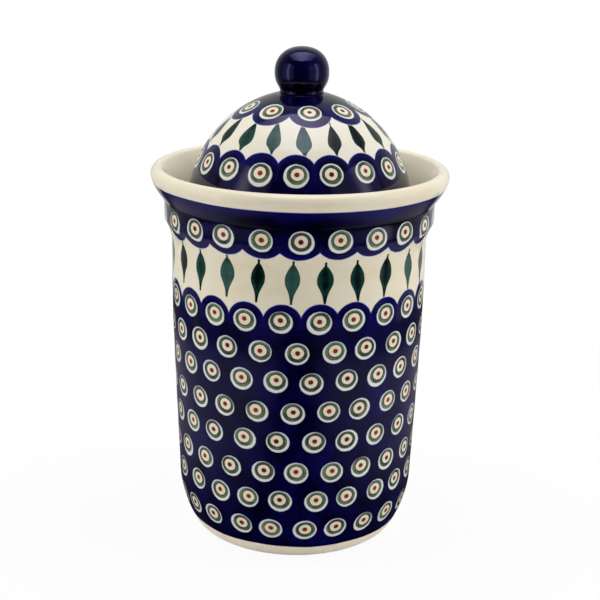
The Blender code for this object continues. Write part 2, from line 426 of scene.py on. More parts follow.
def combined(tree, x, y, z):
    node = tree.nodes.new("ShaderNodeCombineXYZ")
    for item, socket in zip((x, y, z), node.inputs):
        connect(tree, item, socket)
    return Value(tree, node.outputs[0])


def parts_of(tree, socket):
    """The three numbers of a vector."""
    split = tree.nodes.new("ShaderNodeSeparateXYZ")
    tree.links.new(socket, split.inputs[0])
    return [Value(tree, split.outputs[i]) for i in range(3)]


def distance(first, second):
    node = first.tree.nodes.new("ShaderNodeVectorMath")
    node.operation = "DISTANCE"
    first.tree.links.new(first.socket, node.inputs[0])
    first.tree.links.new(second.socket, node.inputs[1])
    return Value(first.tree, node.outputs["Value"])


def noise(point, per_metre, detail=2.0, stretch=(1.0, 1.0, 1.0)):
    """Cloudy noise from about -1 to 1, with so many clouds in a metre."""
    tree = point.tree
    mapping = tree.nodes.new("ShaderNodeMapping")
    mapping.inputs["Scale"].default_value = stretch
    tree.links.new(point.socket, mapping.inputs["Vector"])
    node = tree.nodes.new("ShaderNodeTexNoise")
    node.inputs["Scale"].default_value = per_metre
    node.inputs["Detail"].default_value = detail
    tree.links.new(mapping.outputs[0], node.inputs["Vector"])
    return Value(tree, node.outputs["Fac"]) * 2.0 - 1.0


def chances(tree, index, seed):
    """Three numbers from -1 to 1 that belong to one place round the axis."""
    node = tree.nodes.new("ShaderNodeTexWhiteNoise")
    node.noise_dimensions = "3D"
    vector = combined(tree, index + 0.5, seed, 0.37)
    tree.links.new(vector.socket, node.inputs["Vector"])
    parts = tree.nodes.new("ShaderNodeSeparateColor")
    tree.links.new(node.outputs["Color"], parts.inputs[0])
    return [Value(tree, parts.outputs[i]) * 2.0 - 1.0 for i in range(3)]


def wrapped(index, count):
    return work(index.tree, "FLOORED_MODULO", index, count)


class Surface:
    """The coordinates of a shaded point: its angle round the axis, its radius and its height."""

    def __init__(self, tree):
        coordinates = tree.nodes.new("ShaderNodeTexCoord")
        x, y, z = parts_of(tree, coordinates.outputs["Object"])
        self.tree = tree
        self.point = Value(tree, coordinates.outputs["Object"])
        self.tall_point = combined(tree, x, y, z * EYE_SQUASH)
        self.angle = work(tree, "ARCTAN2", x, y * -1.0)
        self.radius = work(tree, "SQRT", x * x + y * y)
        self.height = z

    def at(self, angle, radius, height):
        """The point at that angle, radius and height."""
        tree = self.tree
        side = work(tree, "SINE", angle) * radius
        front = work(tree, "COSINE", angle) * radius * -1.0
        return combined(tree, side, front, height)


def glazed(name, roughness=GLAZE_ROUGHNESS):
    """A material with a Principled shader of glossy glaze, and its tree and shader."""
    material = bpy.data.materials.new(name)
    material.use_nodes = True
    tree = material.node_tree
    shader = tree.nodes["Principled BSDF"]
    shader.inputs["Roughness"].default_value = roughness
    shader.inputs["IOR"].default_value = GLAZE_IOR
    shader.inputs["Specular IOR Level"].default_value = GLAZE_SHINE
    return material, tree, shader


def glaze_bump(surface, shader, share=1.0):
    """The faint unevenness of a dipped glaze, as bump. share says how much of it there is."""
    tree = surface.tree
    height = noise(surface.point, 55.0, 2.0) + noise(surface.point, 260.0, 1.0) * 0.15
    bump = tree.nodes.new("ShaderNodeBump")
    bump.inputs["Strength"].default_value = BUMP_STRENGTH * share
    bump.inputs["Distance"].default_value = BUMP_DEPTH
    tree.links.new(height.socket, bump.inputs["Height"])
    tree.links.new(bump.outputs[0], shader.inputs["Normal"])


def cream_colour(surface, cream, warm):
    """Cream glaze with warm clouds where it lies thin."""
    clouds = noise(surface.point, 38.0, 3.0, (1.0, 1.0, 1.8))
    fine = noise(surface.point, 160.0, 2.0, (1.0, 1.0, 1.6)) * 0.35
    return blend(surface.tree, rise(clouds + fine, -0.2, 0.8) * 0.6, cream, warm)


def cobalt_colour(surface, inside):
    """Cobalt that is nearly black where it lies thick, and blue to violet towards its edge."""
    tree = surface.tree
    clouds = noise(surface.point, 75.0, 3.0) + noise(surface.point, 420.0, 2.0) * 0.35
    thick = blend(tree, rise(clouds, -0.45, 0.55), COBALT, COBALT_DEEP)
    patches = noise(surface.point, 48.0, 3.0) + noise(surface.point, 300.0, 2.0) * 0.4
    thick = blend(tree, rise(patches, 0.0, 0.75) * 0.8, thick, COBALT_BRIGHT)
    body = blend(tree, fall(inside, *THIN_REACH) * 0.7, thick, COBALT_THIN)
    return blend(tree, fall(inside, *EDGE_REACH) * 0.45, body, COBALT_EDGE)


class Eyes:
    """The nearest stamped eye of a row: how far a point lies from the middles of its disc, ring,
    core and dot. The stamps aren't quite in line, nor are the colours of one stamp. start is the
    first eye's place, as a share of the angle from one eye to the next."""

    def __init__(self, surface, count, start, height, radius, seed, ring_up=RING_LIFT):
        tree = surface.tree
        step = math.tau / count
        self.surface = surface
        index = floor_of(surface.angle / step - start + 0.5)
        place = wrapped(index, count)
        side, lift, size = chances(tree, place, seed)
        ring_side, ring_lift, core_side = chances(tree, place, seed + RING_SEED)
        self.tone, dot_side, dot_lift = chances(tree, place, seed + DOT_SEED)
        wobble = noise(surface.point, 420.0, 1.0) * STAMP_WOBBLE
        wobble = wobble + noise(surface.point, 1100.0) * STAMP_FINE_WOBBLE

        def away(across, up):
            angle = (index + start) * step + across / radius
            middle = surface.at(angle, radius, (height + up) * EYE_SQUASH)
            return distance(surface.tall_point, middle) + wobble

        across, up = side * DISC_SHIFT, lift * DISC_STRAY
        self.disc = away(across, up) - size * DISC_GROWTH
        across, up = across + ring_side * RING_SHIFT, up + ring_lift * RING_STRAY + ring_up
        self.ring = away(across, up)
        across, up = across + core_side * CORE_SHIFT, up + CORE_LIFT
        self.core = away(across, up)
        self.dot = away(across + dot_side * DOT_SHIFT, up + dot_lift * DOT_STRAY)


def stamp_eyes(under, eyes):
    """The colours of the eyes, laid on the colour under them."""
    tree = eyes.surface.tree
    soft = STAMP_SOFT
    rim = rise(eyes.disc, EYE_RADIUS - EYE_RIM_WIDTH, EYE_RADIUS)
    rim = blend(tree, rim, EYE_WHITE, EYE_RIM)
    colour = blend(tree, fall(eyes.disc, EYE_RADIUS - soft, EYE_RADIUS + soft), under, rim)

    mottle = noise(eyes.surface.point, 260.0, 3.0)
    pooled = fall(eyes.core, RING_INNER, RING_INNER + RING_POOL_WIDTH) * 1.1
    pooled = pooled + rise(eyes.ring, RING_OUTER - RING_EDGE_WIDTH, RING_OUTER) * 0.4
    blots = noise(eyes.surface.point, 150.0, 3.0) * 1.7
    dark = rise(blots + pooled + eyes.tone * 0.35, -0.85, 0.65)
    green = blend(tree, dark, RING_GREEN, RING_DARK)
    inked = fall(eyes.ring, RING_OUTER - soft * 1.5, RING_OUTER + soft * 1.5)
    colour = blend(tree, inked * (0.94 + mottle * 0.08), colour, green)

    core = fall(eyes.core, RING_INNER - soft, RING_INNER + soft)
    colour = blend(tree, core, colour, EYE_CORE)
    halo = fall(eyes.dot, DOT_RADIUS, DOT_RADIUS + HALO_WIDTH) * 0.3
    colour = blend(tree, halo, colour, DOT_HALO)
    dried = rise(eyes.dot, DOT_RADIUS * 0.5, DOT_RADIUS) * 0.7
    red = blend(tree, rise(mottle + eyes.tone * 0.5 + dried, -0.5, 0.9), DOT_RED, DOT_DARK)
    return blend(tree, fall(eyes.dot, DOT_RADIUS - soft, DOT_RADIUS + soft), colour, red)


def lobes(surface, count, start, circle, centre_height, centre_radius, side, seed):
    """How far a point lies inside a cobalt edge of round lobes, in metres. circle is the radius
    of a lobe, and side is 1 where the cobalt is above the edge and -1 where it is below."""
    step = math.tau / count
    turn = surface.angle / step - start
    left = floor_of(turn)
    found = side * (surface.height - centre_height)
    for index in (left, left + 1.0):
        shift, lift, size = chances(surface.tree, wrapped(index, count), seed)
        angle = (index + start) * step + shift * LOBE_SHIFT / centre_radius
        centre = surface.at(angle, centre_radius, centre_height + lift * LOBE_STRAY)
        inside = circle + size * LOBE_GROWTH - distance(surface.point, centre)
        found = larger(inside, found)
    return found + noise(surface.point, 330.0, 1.0) * LOBE_WOBBLE


def leaves(surface, count, first_angle, widest, brush, seed):
    """How far a point lies inside a brushed leaf, with the leaf's own tone, and how far it lies
    above the leaf's widest place, along the surface."""
    slope, tip, tip_power, waist, waist_power, tail, stem = brush
    tree = surface.tree
    step = math.tau / count
    index = floor_of((surface.angle - first_angle) / step + 0.5)
    place = wrapped(index, count)
    shift, lift, lean = chances(tree, place, seed)
    width, tone, length = chances(tree, place, seed + LEAF_FORM_SEED)
    along = (surface.height - widest) * slope - lift * LEAF_STRAY
    side = (surface.angle - first_angle - index * step) * surface.radius
    across = abs(side - shift * LEAF_SHIFT - along * lean * LEAF_LEAN)
    top = tip * (1.0 + length * LEAF_LENGTHENING)
    up = larger(along, 0.0) / top
    down = larger(along * -1.0, 0.0) / waist
    shape = (1.0 - up ** tip_power) / (1.0 + down ** waist_power)
    half = larger(shape, 0.0) * (LEAF_HALF_WIDTH * (1.0 + width * LEAF_WIDENING))
    ends = rise(along, -tail + TAIL_START, -tail + TAIL_FULL)
    ends = ends * fall(along, top + STEM_LENGTH - STEM_FADE, top + STEM_LENGTH)
    half = larger(half, stem) * ends - (1.0 - ends) * MM
    inside = half - across + noise(surface.point, 380.0, 1.0) * LEAF_WOBBLE
    return inside, tone, along


def brush_leaves(under, surface, found):
    """The leaves' colour laid on the colour under it. Some are loaded and some nearly dry, and
    the colour pools in the middle of a leaf and at both its ends."""
    inside, tone, along = found
    tree = surface.tree
    streaks = noise(surface.point, 230.0, 3.0, (1.0, 1.0, 0.25))
    bands = noise(surface.point, 240.0, 2.0, (0.3, 0.3, 1.0))
    ends = rise(abs(along + 1.5 * MM), 5.0 * MM, 9.0 * MM) * 0.5
    pooled = rise(inside, 0.6 * MM, 3.6 * MM) * 0.65 + ends
    wet = rise(pooled + streaks * 0.4 + bands * 0.35 - tone * 0.35, -0.3, 0.85)
    green = blend(tree, wet, LEAF_TEAL, LEAF_DARK)
    dry = rise(tone + streaks * 0.45 + bands * 0.3, 0.1, 1.5) * (1.0 - ends) * 0.75
    green = blend(tree, dry, green, LEAF_PALE)
    return blend(tree, rise(inside, *LEAF_SOFT), under, green)


def lay_cobalt(under, surface, inside, lobed):
    """Cobalt laid where inside is above 0, with the pale line that it bleeds into the cream. It
    thins out to blue at the lobes' edge, and lobed says how far inside that edge a point lies."""
    tree = surface.tree
    colour = blend(tree, rise(inside, *BLEED_REACH) * 0.7, under, BLEED)
    return blend(tree, rise(inside, *COBALT_SOFT), colour, cobalt_colour(surface, lobed))


def row_value(row, values):
    """The value that belongs to a row's number, from 0. Values go from 0 to 1."""
    tree = row.tree
    node = tree.nodes.new("ShaderNodeValToRGB")
    ramp = node.color_ramp
    ramp.interpolation = "CONSTANT"
    while len(ramp.elements) < len(values):
        ramp.elements.new(0.5)
    for number, value in enumerate(values):
        ramp.elements[number].position = number / len(values)
        ramp.elements[number].color = (value, value, value, 1.0)
    connect(tree, (row + 0.5) / len(values), node.inputs["Fac"])
    return Value(tree, node.outputs["Color"])


def jar_eyes(surface):
    """The eyes of the body's rows, and of the collar's row above the cream band."""
    count = len(BODY_ROW_STARTS)
    row = floor_of((BODY_ROW_TOP - surface.height) / BODY_ROW_PITCH + 0.5)
    row = smaller(larger(row, 0.0), count - 1.0)
    collar = above(surface.height, JAR_BAND_MIDDLE)
    lift = row_value(row, BODY_ROW_LIFTS) * MM
    body_height = BODY_ROW_TOP - row * BODY_ROW_PITCH + lift
    height = pick(collar, COLLAR_ROW, body_height)
    start = pick(collar, COLLAR_ROW_START, row_value(row, BODY_ROW_STARTS))
    ring_up = pick(collar, COLLAR_RING_LIFT, RING_LIFT)
    seed = row + collar * COLLAR_EYE_SEED
    return Eyes(surface, JAR_EYE_COUNT, start, height, surface.radius, seed, ring_up)


def jar_cobalt(surface):
    """How far a point lies inside the cobalt of the body or of the collar, in metres, how far it
    lies inside their edge of lobes, and how far it lies above the line at the foot."""
    body = lobes(
        surface, JAR_EYE_COUNT, BODY_ROW_STARTS[0], BODY_LOBE_RADIUS, BODY_LOBE_CENTRE,
        surface.radius, -1.0, BODY_LOBE_SEED,
    )
    collar = lobes(
        surface, JAR_EYE_COUNT, COLLAR_ROW_START, COLLAR_LOBE_RADIUS, COLLAR_LOBE_CENTRE,
        surface.radius, 1.0, COLLAR_LOBE_SEED,
    )
    wave = noise(surface.point, 14.0, 2.0) * FOOT_WAVE
    wave = wave + noise(surface.point, 90.0, 1.0) * FOOT_RIPPLE
    front = work(surface.tree, "COSINE", surface.angle)
    above_foot = surface.height - FOOT_LINE - front * FOOT_LINE_RISE + wave
    line = noise(surface.point, 30.0, 2.0) * RIM_WAVE
    left = larger(work(surface.tree, "SINE", surface.angle) * -1.0, 0.0)
    below_rim = RIM_LINE - surface.height + line + left * RIM_LINE_RISE
    inside = larger(smaller(body, above_foot), smaller(collar, below_rim))
    lobed = larger(body, smaller(collar, below_rim * 0.6 + 0.6 * MM))
    return inside, lobed, above_foot


def corner_shade_and_pool(surface):
    """How far the thick glaze and painted shade in the corner between the flare and the collar
    cover a point.
    """
    clouds = noise(surface.point, 22.0, 2.0)
    started = rise(surface.height + clouds * CORNER_SHADE_POOL_WAVE, *CORNER_SHADE_POOL_START)
    return fall(surface.height, *CORNER_SHADE_POOL_END) * started * 0.8


def jar_outside_material():
    """The decorated outside, with the foot left bare below the cobalt."""
    material, tree, shader = glazed("jar_decorated_glaze")
    surface = Surface(tree)
    found = leaves(
        surface, JAR_LEAF_COUNT, JAR_LEAF_ANGLE, JAR_LEAF_WIDEST, JAR_LEAF_BRUSH, JAR_LEAF_SEED,
    )
    cobalt, lobed, above_foot = jar_cobalt(surface)
    foot = fall(surface.height, *BARE_END)
    colour = blend(tree, foot, cream_colour(surface, CREAM, CREAM_WARM), clay_colour(surface))
    colour = brush_leaves(colour, surface, found)
    colour = lay_cobalt(colour, surface, cobalt, lobed)
    # Painted shade with thick glaze along the fold just above the foot line, as nearly black
    # cobalt.
    pooled = rise(above_foot, *FOOT_SHADE_POOL_START) * fall(above_foot, *FOOT_SHADE_POOL_END) * 0.85
    # Painted shade with thick glaze in the corner under the flare, as nearly black cobalt.
    pooled = larger(pooled, corner_shade_and_pool(surface) * rise(cobalt, 0.0, 0.6 * MM))
    colour = blend(tree, pooled, colour, COBALT_POOL_AND_SHADE)
    colour = stamp_eyes(colour, jar_eyes(surface))
    bare = foot * fall(cobalt, -0.2 * MM, 0.2 * MM)
    roughness = bare * (CLAY_ROUGHNESS - GLAZE_ROUGHNESS) + GLAZE_ROUGHNESS
    tree.links.new(colour.socket, shader.inputs["Base Color"])
    tree.links.new(roughness.socket, shader.inputs["Roughness"])
    glaze_bump(surface, shader)
    return material


def lid_outside_material(low_radius, cap_radius):
    """The decorated dome of the lid."""
    material, tree, shader = glazed("lid_decorated_glaze")
    surface = Surface(tree)
    low = lobes(
        surface, LOW_EYE_COUNT, LOW_EYE_ANGLE * LOW_EYE_COUNT / math.tau, LID_LOBE_RADIUS,
        LOW_EYE_HEIGHT, low_radius, -1.0, LOW_LOBE_SEED,
    )
    cap = lobes(
        surface, CAP_EYE_COUNT, CAP_EYE_ANGLE * CAP_EYE_COUNT / math.tau, LID_LOBE_RADIUS,
        CAP_EYE_HEIGHT, cap_radius, 1.0, CAP_LOBE_SEED,
    )
    cobalt = larger(low, cap)
    found = leaves(
        surface, LID_LEAF_COUNT, LID_LEAF_ANGLE, LID_LEAF_WIDEST, LID_LEAF_BRUSH, LID_LEAF_SEED,
    )
    colour = brush_leaves(cream_colour(surface, LID_CREAM, CREAM), surface, found)
    colour = lay_cobalt(colour, surface, cobalt, cobalt)
    thick = rise(surface.height, *CROWN_START) * 0.35 + 0.12
    colour = blend(tree, rise(cobalt, 0.8 * MM, 3.0 * MM) * thick, colour, COBALT_DEEP)
    for count, angle, height, radius, seed in (
        (LOW_EYE_COUNT, LOW_EYE_ANGLE, LOW_EYE_HEIGHT, low_radius, LOW_EYE_SEED),
        (CAP_EYE_COUNT, CAP_EYE_ANGLE, CAP_EYE_HEIGHT, cap_radius, CAP_EYE_SEED),
    ):
        start = angle * count / math.tau
        colour = stamp_eyes(colour, Eyes(surface, count, start, height, radius, seed))
    tree.links.new(colour.socket, shader.inputs["Base Color"])
    glaze_bump(surface, shader)
    return material


def clay_colour(surface):
    """Bare stoneware with fine grain."""
    grain = noise(surface.point, 900.0, 2.0) * 0.5 + noise(surface.point, 70.0, 2.0) * 0.5
    return blend(surface.tree, rise(grain, -0.6, 0.6) * 0.6, BARE_CLAY, CREAM_WARM)


def cream_material():
    """Plain cream glaze, for the inside. Painted light makes it brighter lower down, in the
    mouth's shade.
    """
    material, tree, shader = glazed("cream_glaze")
    surface = Surface(tree)
    clouds = noise(surface.point, 30.0, 3.0)
    # Painted light: more of the brighter cream lower inside the mouth, where shade falls.
    painted_light = fall(surface.height, *PAINTED_LIGHT_FADE) * 0.5 + 0.3
    colour = blend(tree, rise(clouds, -0.2, 0.8) * 0.1 + painted_light, CREAM, CREAM_PAINTED_LIGHT)
    tree.links.new(colour.socket, shader.inputs["Base Color"])
    glaze_bump(surface, shader)
    return material


def clay_material():
    """Bare stoneware, where the jar stands and where the lid rests."""
    material, tree, shader = glazed("bare_clay", CLAY_ROUGHNESS)
    surface = Surface(tree)
    tree.links.new(clay_colour(surface).socket, shader.inputs["Base Color"])
    return material


def knob_material():
    """Plain cobalt glaze, thick and nearly black round the neck, with painted shade there too."""
    material, tree, shader = glazed("knob_cobalt_glaze")
    surface = Surface(tree)
    clouds = noise(surface.point, 90.0, 3.0)
    colour = blend(tree, rise(clouds, -0.8, 0.5), COBALT, COBALT_DEEP)
    # Painted shade round the neck, under the ball, with thick and duller glaze there.
    pooled = fall(surface.height, *KNOB_SHADE_POOL)
    colour = blend(tree, pooled, colour, COBALT_POOL_AND_SHADE)
    roughness = pooled * KNOB_DULLED + GLAZE_ROUGHNESS
    tree.links.new(colour.socket, shader.inputs["Base Color"])
    tree.links.new(roughness.socket, shader.inputs["Roughness"])
    shader.inputs["Specular IOR Level"].default_value = KNOB_SHINE
    shader.inputs["Specular Tint"].default_value = KNOB_TINT
    glaze_bump(surface, shader, KNOB_BUMP)
    return material


def outline_of(node):
    """The node's outline at +X as (radius, height) points, from its upper end on the axis to its
    lower one. A flat disc has no point of its own on the axis, so the end gets one."""
    mesh = node.data
    places = {}
    for vertex in mesh.vertices:
        if abs(vertex.co.y) < FLAT and vertex.co.x > -FLAT:
            places[vertex.index] = (round(max(vertex.co.x, 0.0), 6), round(vertex.co.z, 6))
    links = {}
    for edge in mesh.edges:
        first, second = edge.vertices
        if first in places and second in places and places[first] != places[second]:
            links.setdefault(places[first], set()).add(places[second])
            links.setdefault(places[second], set()).add(places[first])
    ends = sorted((p for p in links if len(links[p]) == 1), key=lambda p: p[1])
    walk = [ends[-1]]
    while walk[-1] != ends[0]:
        walk += [p for p in links[walk[-1]] if p not in walk[-2:]][:1]
    top = [(0.0, walk[0][1])] if walk[0][0] > 0.0 else []
    foot = [(0.0, walk[-1][1])] if walk[-1][0] > 0.0 else []
    return top + walk + foot


def turn_at(before, here, after):
    """How far an outline turns at a point, in radians."""
    first = math.atan2(here[1] - before[1], here[0] - before[0])
    second = math.atan2(after[1] - here[1], after[0] - here[0])
    return abs((second - first + math.pi) % math.tau - math.pi)


def opposite(here, there):
    """The point as far from here as there is, on the other side."""
    return (2 * here[0] - there[0], 2 * here[1] - there[1])


def eased(before, start, end, after, steps):
    """Points after start up to end, on the curve that passes through all four."""
    handles = [Vector(p) for p in (before, start, end, after)]
    knots = [0.0]
    for first, second in zip(handles, handles[1:]):
        knots.append(knots[-1] + math.sqrt((second - first).length))
    points = []
    for i in range(1, steps + 1):
        time = knots[1] + (knots[2] - knots[1]) * i / steps
        row = handles
        for spans in (((0, 1), (1, 2), (2, 3)), ((0, 2), (1, 3)), ((1, 2),)):
            row = [
                a.lerp(b, (time - knots[low]) / (knots[high] - knots[low]))
                for a, b, (low, high) in zip(row, row[1:], spans)
            ]
        points.append(tuple(row[0]))
    return points


def smooth_outline(points):
    """The outline with its round stretches eased through its own points. Corners stay."""
    last = len(points) - 1
    turns = [0.0] + [turn_at(*points[i - 1:i + 2]) for i in range(1, last)] + [0.0]
    corner = [t > CORNER_TURN for t in turns]
    smooth = [points[0]]
    for i in range(last):
        start, end = points[i], points[i + 1]
        before = points[i - 1] if i else (-end[0], end[1])
        after = points[i + 2] if i + 1 < last else (-start[0], start[1])
        if corner[i]:
            before = opposite(start, end)
        if corner[i + 1]:
            after = opposite(end, start)
        bend = sum(turn for turn, sharp in zip(turns[i:i + 2], corner[i:i + 2]) if not sharp) / 2
        steps = max(math.ceil(math.dist(start, end) / LONGEST_STEP), math.ceil(bend / FINEST_TURN))
        smooth += eased(before, start, end, after, max(steps, 1))
    return smooth


def uneven(angle, height):
    """How far hand work leaves a wall from true at an angle and a height, in metres."""
    oval = OVAL * math.cos(2 * angle + 1.1) + LOPSIDED * math.cos(3 * angle + 25 * height)
    ripple = RIPPLE * math.sin(height * math.tau / RIPPLE_PITCH + 0.8 * math.sin(angle))
    return oval + ripple


def lengths_along(outline):
    """The length along an outline up to each of its points."""
    lengths = [0.0]
    for first, second in zip(outline, outline[1:]):
        lengths.append(lengths[-1] + math.dist(first, second))
    return lengths


def looseness(outline, first, last):
    """How far each point follows the unevenness: fully between two points of the outline, and
    not at all outside them, with a soft start and end."""
    lengths = lengths_along(outline)
    shares = []
    for length in lengths:
        inside = min(length - lengths[first], lengths[last] - length) / UNEVEN_EASE
        share = min(max(inside, 0.0), 1.0)
        shares.append(share * share * (3 - 2 * share))
    return shares


def map_rows(outline, first, last):
    """The height in the piece's own map of each point of the outline. The stretch between the
    first and the last point, which shows most, gets SHOWN_SHARE of the map."""
    lengths = lengths_along(outline)
    shown = lengths[last] - lengths[first]
    hidden = lengths[-1] - shown
    rows = []
    for length in lengths:
        before = min(length, lengths[first]) + max(length - lengths[last], 0.0)
        within = min(max(length - lengths[first], 0.0), shown)
        rows.append(SHOWN_SHARE * within / shown + (1 - SHOWN_SHARE) * before / max(hidden, FLAT))
    return [MAP_EDGE + (1 - 2 * MAP_EDGE) * row for row in rows]


def add_band(shape, low, high, material, layer, rows):
    """The faces between two rings of points, or between a ring and a point on the axis."""
    for k in range(ROUND_SEGMENTS):
        after = (k + 1) % ROUND_SEGMENTS
        corners = [(low, k, 0), (low, k + 1, 0), (high, k + 1, 1), (high, k, 1)]
        if len(low) == 1:
            corners = [(low, k + 0.5, 0), (high, k + 1, 1), (high, k, 1)]
        if len(high) == 1:
            corners = [(low, k, 0), (low, k + 1, 0), (high, k + 0.5, 1)]
        points = []
        for ring, place, _ in corners:
            points.append(ring[0] if len(ring) == 1 else ring[k if place == k else after])
        face = shape.faces.new(points)
        face.material_index = material
        for loop, (_, place, end) in zip(face.loops, corners):
            across = MAP_EDGE + (1 - 2 * MAP_EDGE) * place / ROUND_SEGMENTS
            loop[layer].uv = (across, rows[end])


def placed(name, data):
    """A new object of the scene that holds the data."""
    thing = bpy.data.objects.new(name, data)
    bpy.context.scene.collection.objects.link(thing)
    return thing


def ring_of(shape, radius, height, share):
    """A ring of points, or one point on the axis."""
    if radius < FLAT:
        return [shape.verts.new((0.0, 0.0, height))]
    ring = []
    for k in range(ROUND_SEGMENTS):
        angle = math.tau * k / ROUND_SEGMENTS
        away = radius + share * uneven(angle, height)
        ring.append(shape.verts.new((away * math.sin(angle), -away * math.cos(angle), height)))
    return ring


def turned(name, outline, materials, material_of, first, last):
    """A closed piece turned from an outline. material_of gives the number of the material of the
    stretch after a point. The outside lies between the first and the last point named."""
    shape = bmesh.new()
    layer = shape.loops.layers.uv.new("OFBake")
    shares = looseness(outline, first, last)
    rows = map_rows(outline, first, last)
    rings = [ring_of(shape, *point, share) for point, share in zip(outline, shares)]
    for i in range(len(outline) - 1):
        add_band(shape, rings[i], rings[i + 1], material_of(i), layer, rows[i:i + 2])
    bmesh.ops.recalc_face_normals(shape, faces=shape.faces)
    mesh = bpy.data.meshes.new(name)
    shape.to_mesh(mesh)
    shape.free()
    for material in materials:
        mesh.materials.append(material)
    mesh.shade_smooth()
    mesh.set_sharp_from_angle(angle=CORNER_TURN)
    return placed(name, mesh)


def radius_at(outline, height):
    """The largest radius of an outline at a height."""
    found = 0.0
    for first, second in zip(outline, outline[1:]):
        low, high = sorted((first[1], second[1]))
        if low <= height <= high and high > low:
            share = (height - first[1]) / (second[1] - first[1])
            found = max(found, first[0] + share * (second[0] - first[0]))
    return found


def make_jar(cream, clay):
    """The jar. Its outline runs from the floor inside, over the lip, to the base underneath."""
    outline = smooth_outline(outline_of(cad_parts["jar_body"]))
    crest = max(range(len(outline)), key=lambda i: outline[i][1])
    ground = [i for i, point in enumerate(outline) if point[1] < FLAT]
    seat = seat_of(outline[:crest])

    def material_of(i):
        if i >= crest:
            return DECORATED if i < ground[0] else BARE
        return BARE if i in seat else PLAIN

    materials = [jar_outside_material(), cream, clay]
    jar = turned("glazed_jar", outline, materials, material_of, crest, ground[0])
    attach(jar, "jar")
    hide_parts("jar_body")


def seat_of(outline):
    """The stretches of an outline that lie level and far from the axis, where the lid rests."""
    return {
        i for i in range(len(outline) - 1)
        if abs(outline[i][1] - outline[i + 1][1]) < FLAT and outline[i + 1][0] > SEAT_LEAST_RADIUS
    }


def make_lid(cream, clay):
    """The lid. Its outline runs from the crown, down to the flange and back up inside."""
    outline = smooth_outline(outline_of(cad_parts["lid_dome"]))
    widest = max(range(len(outline)), key=lambda i: outline[i][0])
    crown = next(i for i, point in enumerate(outline) if point[0] > 0.0)
    seat = seat_of(outline[:-1])
    shoulder = min(i for i in range(widest) if outline[i][1] < outline[widest][1] + FLANGE_CLEAR)

    def material_of(i):
        if i < shoulder:
            return DECORATED
        return BARE if i in seat and i > widest else PLAIN

    radii = [radius_at(outline, height) for height in (LOW_EYE_HEIGHT, CAP_EYE_HEIGHT)]
    materials = [lid_outside_material(*radii), cream, clay]
    lid = turned("glazed_lid", outline, materials, material_of, crown, shoulder)
    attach(lid, "lid")
    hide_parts("lid_dome")


def make_knob():
    """The ball knob. Its outline runs from its top down to the face that sits on the crown."""
    outline = smooth_outline(outline_of(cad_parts["lid_knob"]))
    foot = len(outline) - 2
    knob = turned("glazed_knob", outline, [knob_material()], lambda i: 0, 0, foot)
    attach(knob, "lid")
    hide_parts("lid_knob")


def make_camera():
    """A camera at the photograph's viewpoint, turned and rolled as the photograph is."""
    pitch, yaw, roll = CAMERA_PITCH, CAMERA_YAW, CAMERA_ROLL
    ahead = Vector((
        math.cos(pitch) * math.sin(yaw),
        math.cos(pitch) * math.cos(yaw),
        -math.sin(pitch),
    ))
    right = Vector((math.cos(yaw), -math.sin(yaw), 0.0))
    up = right.cross(ahead)
    image_right = right * math.cos(roll) + up * math.sin(roll)
    image_up = up * math.cos(roll) - right * math.sin(roll)
    turn = Matrix((image_right, image_up, -ahead)).transposed().to_4x4()
    data = bpy.data.cameras.new("camera")
    data.sensor_width = SENSOR_MM
    data.lens = FOCAL_PIXELS / IMAGE_PIXELS * SENSOR_MM
    camera = placed("camera", data)
    camera.matrix_world = Matrix.Translation((0.0, -CAMERA_BACK, CAMERA_UP)) @ turn
    bpy.context.scene.camera = camera


def soft_light(name, place, size, power):
    """A rectangular lamp that lights the object and isn't seen in its glaze."""
    data = bpy.data.lights.new(name, "AREA")
    data.shape = "RECTANGLE"
    data.size, data.size_y = size
    data.energy = power
    lamp = placed(name, data)
    lamp.location = place
    lamp.rotation_mode = "QUATERNION"
    lamp.rotation_quaternion = (Vector(LAMP_AIM) - Vector(place)).to_track_quat("-Z", "Y")
    lamp.visible_glossy = False


def emptied_material(name):
    """A material with nothing but an output, and its tree and output."""
    material = bpy.data.materials.new(name)
    material.use_nodes = True
    tree = material.node_tree
    tree.nodes.clear()
    return material, tree, tree.nodes.new("ShaderNodeOutputMaterial")


def reflected_card(name, corners, glow_of):
    """A glowing card that only the glaze sees, given by its corners. glow_of gives its strength
    from the coordinates of a point on it."""
    mesh = bpy.data.meshes.new(name)
    mesh.from_pydata(corners, [], [tuple(range(len(corners)))])
    material, tree, output = emptied_material(name)
    glow = tree.nodes.new("ShaderNodeEmission")
    glow.inputs["Color"].default_value = CARD_TINT
    coordinates = tree.nodes.new("ShaderNodeTexCoord")
    strength = glow_of(*parts_of(tree, coordinates.outputs["Object"]))
    tree.links.new(strength.socket, glow.inputs["Strength"])
    tree.links.new(glow.outputs[0], output.inputs["Surface"])
    mesh.materials.append(material)
    card = placed(name, mesh)
    card.visible_camera = False
    card.visible_diffuse = False
    card.visible_shadow = False
    card.visible_transmission = False


def overhead_glow(x, y, z):
    """Brightest in the middle, as a diffuser with its lamp behind it is."""
    return fall(abs(x), *OVERHEAD_FADE) * OVERHEAD_MIDDLE + OVERHEAD_GLOW


def side_glow_at(streak):
    """The glow of a side panel, with a bright upright streak where its lamp stands."""
    def glow(x, y, z):
        bright = fall(abs(y - streak), 0.0, STREAK_REACH) * STREAK_GLOW
        near = rise(y, SIDE_NEAR[1], SIDE_NEAR[1] + SIDE_NEAR_EDGE)
        low = rise(z, SIDE_LOW, SIDE_LOW + SIDE_LOW_EDGE)
        return (bright + SIDE_CARD_GLOW) * (near * low)
    return glow


